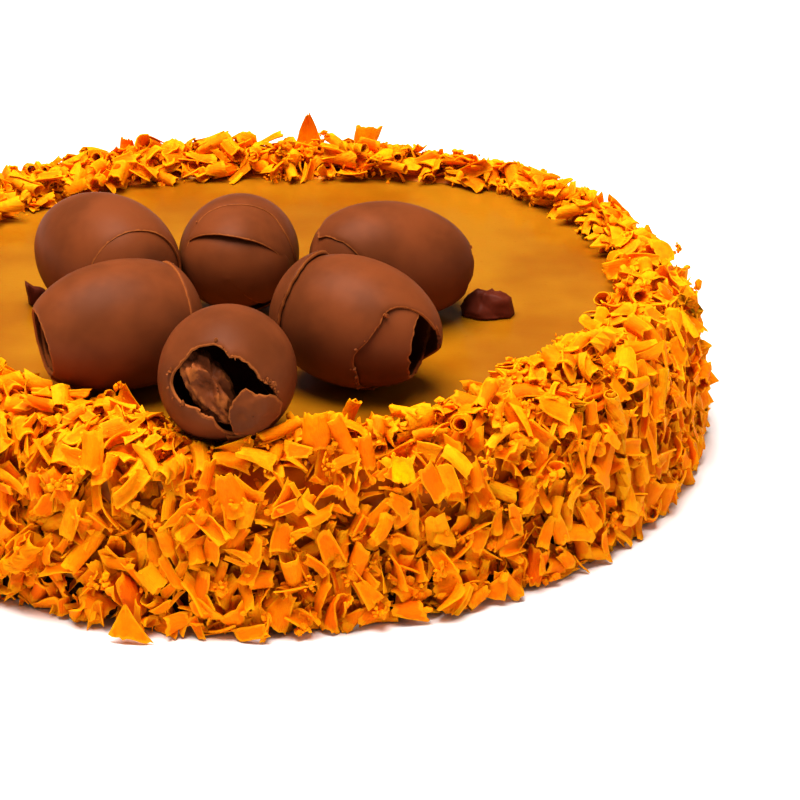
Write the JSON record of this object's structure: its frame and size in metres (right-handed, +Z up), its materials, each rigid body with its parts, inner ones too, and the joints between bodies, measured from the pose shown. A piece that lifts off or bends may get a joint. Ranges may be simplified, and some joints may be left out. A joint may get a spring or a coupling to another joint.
{
  "type": "caramel cake",
  "caption": "Whole round cake on a dark sponge foot, its side and rim coated in caramel shavings, glazed on top and heaped with rolled chocolate curls.",
  "frame": {"origin": "middle of the flat underside, on the surface the cake stands on", "axes": "+Z up, -Y towards the side the picture is taken from, +X to its right"},
  "size_m": [0.2559, 0.2563, 0.0783],
  "materials": {
    "sponge": "dark chocolate sponge, open crumb, matt",
    "shavings": "caramel couverture shavings, golden, satin with dry crumbly edges",
    "mousse": "pale caramel mousse under a thin clear glaze, wet gloss",
    "glaze": "caramel mirror glaze, wet gloss with soft ripples",
    "milk_chocolate": "milk chocolate, satin, paler at broken edges",
    "dark_chocolate": "dark chocolate, satin, broken faces"
  },
  "bodies": {
    "root": {"sponge_foot": "sponge", "cake_body": "shavings", "caramel_glaze": "glaze", "curl_back_left": "milk_chocolate", "curl_front_left": "milk_chocolate", "curl_centre": "milk_chocolate", "curl_back_right": "milk_chocolate", "curl_front_right": "milk_chocolate", "curl_front": "milk_chocolate", "chocolate_chunk": "dark_chocolate", "chocolate_splinter": "dark_chocolate"}
  },
  "joints": []
}
